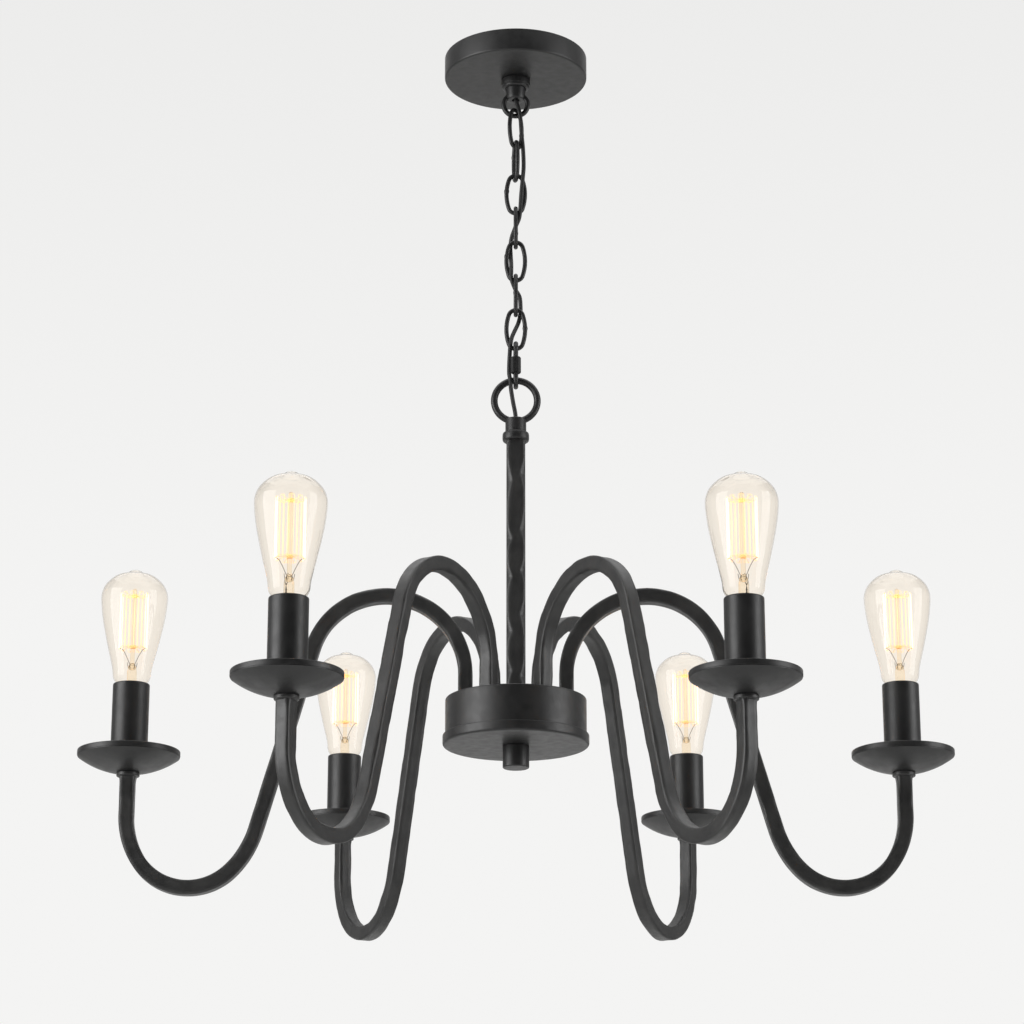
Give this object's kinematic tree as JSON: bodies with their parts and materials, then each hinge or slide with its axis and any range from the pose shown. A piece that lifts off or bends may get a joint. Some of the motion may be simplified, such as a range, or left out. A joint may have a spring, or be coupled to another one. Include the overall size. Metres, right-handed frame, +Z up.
{
  "type": "multi arm chandelier",
  "caption": "Wrought iron chandelier: S-curved square arms from a round hub, each with a drip dish, candle sleeve and filament bulb, hung by chain from a ceiling canopy.",
  "frame": {"origin": "on the ceiling plane, on the axis of the stem, at the centre of the crossbar's top face", "axes": "+Z up; +X along the two side arms, to the right seen from the front; -Y towards the front"},
  "size_m": [0.7566, 0.6624, 0.7799],
  "materials": {
    "black_iron": "satin black powder coat over hammered iron",
    "zinc_steel": "zinc plated",
    "ground_green": "green zinc, semi-gloss",
    "cord_jacket": "black jacket, matte",
    "wire_jacket": "insulated wire, matte",
    "cap_plastic": "moulded, matte",
    "socket_plastic": "phenolic, semi-matte",
    "amber_glass": "clear with a faint amber tint",
    "bulb_brass": "bright, thin threads"
  },
  "bodies": {
    "ceiling_fittings": {"crossbar": "zinc_steel", "ground_screw": "ground_green", "threaded_nipple": "zinc_steel", "nipple_lock_nut": "zinc_steel", "canopy_loop": "black_iron", "supply_cord": "cord_jacket"},
    "canopy": {"canopy": "black_iron"},
    "collar_nut": {"collar_nut": "black_iron"},
    "chain_link_1": {"chain_link_1": "black_iron"},
    "chain_link_2": {"chain_link_2": "black_iron"},
    "chain_link_3": {"chain_link_3": "black_iron"},
    "chain_link_4": {"chain_link_4": "black_iron"},
    "chain_link_5": {"chain_link_5": "black_iron"},
    "chain_link_6": {"chain_link_6": "black_iron"},
    "chain_link_7": {"chain_link_7": "black_iron"},
    "quick_link": {"quick_link": "black_iron"},
    "quick_link_nut": {"quick_link_nut": "black_iron"},
    "fixture": {"stem_loop": "black_iron", "stem_tube": "black_iron", "hub_body": "black_iron", "hub_nipple": "zinc_steel", "hub_lock_nut": "zinc_steel", "arm_nuts": "zinc_steel", "arm_wires": "wire_jacket", "wire_caps": "cap_plastic", "socket_nipples": "zinc_steel", "sockets": "socket_plastic", "arm_1": "black_iron", "arm_2": "black_iron", "arm_3": "black_iron", "arm_4": "black_iron", "arm_5": "black_iron", "arm_6": "black_iron", "bobeche_1": "black_iron", "bobeche_2": "black_iron", "bobeche_3": "black_iron", "bobeche_4": "black_iron", "bobeche_5": "black_iron", "bobeche_6": "black_iron", "candle_sleeve_1": "black_iron", "candle_sleeve_2": "black_iron", "candle_sleeve_3": "black_iron", "candle_sleeve_4": "black_iron", "candle_sleeve_5": "black_iron", "candle_sleeve_6": "black_iron"},
    "hub_cover": {"hub_cover": "black_iron"},
    "hub_finial": {"hub_finial": "black_iron"},
    "bulb_1": {"bulb_glass_1": "amber_glass", "bulb_core_1": "bulb_brass"},
    "bulb_2": {"bulb_glass_2": "amber_glass", "bulb_core_2": "bulb_brass"},
    "bulb_3": {"bulb_glass_3": "amber_glass", "bulb_core_3": "bulb_brass"},
    "bulb_4": {"bulb_glass_4": "amber_glass", "bulb_core_4": "bulb_brass"},
    "bulb_5": {"bulb_glass_5": "amber_glass", "bulb_core_5": "bulb_brass"},
    "bulb_6": {"bulb_glass_6": "amber_glass", "bulb_core_6": "bulb_brass"}
  },
  "joints": [
    {"name": "link_1_swing", "type": "hinge", "parent": "ceiling_fittings", "child": "chain_link_1", "pos_m": [0, 0, -0.0568], "axis": [1, 0, 0], "range_deg": [-10, 10], "deforming": ["supply_cord"]},
    {"name": "link_2_swing", "type": "hinge", "parent": "chain_link_1", "child": "chain_link_2", "pos_m": [0, 0, -0.0886], "axis": [0.6561, 0.7547, 0], "range_deg": [-10, 10]},
    {"name": "link_3_swing", "type": "hinge", "parent": "chain_link_2", "child": "chain_link_3", "pos_m": [0, 0, -0.1207], "axis": [-0.2079, 0.9781, 0], "range_deg": [-10, 10]},
    {"name": "link_4_swing", "type": "hinge", "parent": "chain_link_3", "child": "chain_link_4", "pos_m": [0, 0, -0.1536], "axis": [1, 0, 0], "range_deg": [-10, 10]},
    {"name": "link_5_swing", "type": "hinge", "parent": "chain_link_4", "child": "chain_link_5", "pos_m": [0, 0, -0.1865], "axis": [0, 1, 0], "range_deg": [-10, 10]},
    {"name": "link_6_swing", "type": "hinge", "parent": "chain_link_5", "child": "chain_link_6", "pos_m": [0, 0, -0.2194], "axis": [1, 0, 0], "range_deg": [-10, 10]},
    {"name": "link_7_swing", "type": "hinge", "parent": "chain_link_6", "child": "chain_link_7", "pos_m": [0, 0, -0.2523], "axis": [0, 1, 0], "range_deg": [-10, 10]},
    {"name": "quick_link_swing", "type": "hinge", "parent": "chain_link_7", "child": "quick_link", "pos_m": [0, 0, -0.2852], "axis": [1, 0, 0], "range_deg": [-10, 10]},
    {"name": "fixture_swing", "type": "hinge", "parent": "quick_link", "child": "fixture", "pos_m": [0, 0, -0.3211], "axis": [0, 1, 0], "range_deg": [-10, 10]},
    {"name": "quick_link_nut_slide", "type": "slide", "parent": "quick_link", "child": "quick_link_nut", "axis": [0, 0, 1], "range_m": [0, 0.008]},
    {"name": "collar_nut_slide", "type": "slide", "parent": "ceiling_fittings", "child": "collar_nut", "axis": [0, 0, -1], "range_m": [0, 0.005]},
    {"name": "canopy_slide", "type": "slide", "parent": "ceiling_fittings", "child": "canopy", "axis": [0, 0, -1], "range_m": [0, 0.005]},
    {"name": "hub_finial_slide", "type": "slide", "parent": "fixture", "child": "hub_finial", "axis": [0, 0, -1], "range_m": [0, 0.011]},
    {"name": "hub_cover_slide", "type": "slide", "parent": "fixture", "child": "hub_cover", "axis": [0, 0, -1], "range_m": [0, 0.011]},
    {"name": "bulb_1_lift", "type": "slide", "parent": "fixture", "child": "bulb_1", "axis": [0, 0, 1], "range_m": [0, 0.05]},
    {"name": "bulb_2_lift", "type": "slide", "parent": "fixture", "child": "bulb_2", "axis": [0, 0, 1], "range_m": [0, 0.05]},
    {"name": "bulb_3_lift", "type": "slide", "parent": "fixture", "child": "bulb_3", "axis": [0, 0, 1], "range_m": [0, 0.05]},
    {"name": "bulb_4_lift", "type": "slide", "parent": "fixture", "child": "bulb_4", "axis": [0, 0, 1], "range_m": [0, 0.05]},
    {"name": "bulb_5_lift", "type": "slide", "parent": "fixture", "child": "bulb_5", "axis": [0, 0, 1], "range_m": [0, 0.05]},
    {"name": "bulb_6_lift", "type": "slide", "parent": "fixture", "child": "bulb_6", "axis": [0, 0, 1], "range_m": [0, 0.05]}
  ],
  "couplings": [
    {"joint": "canopy_slide", "follows": "collar_nut_slide", "ratio": 1},
    {"joint": "hub_cover_slide", "follows": "hub_finial_slide", "ratio": 1}
  ]
}
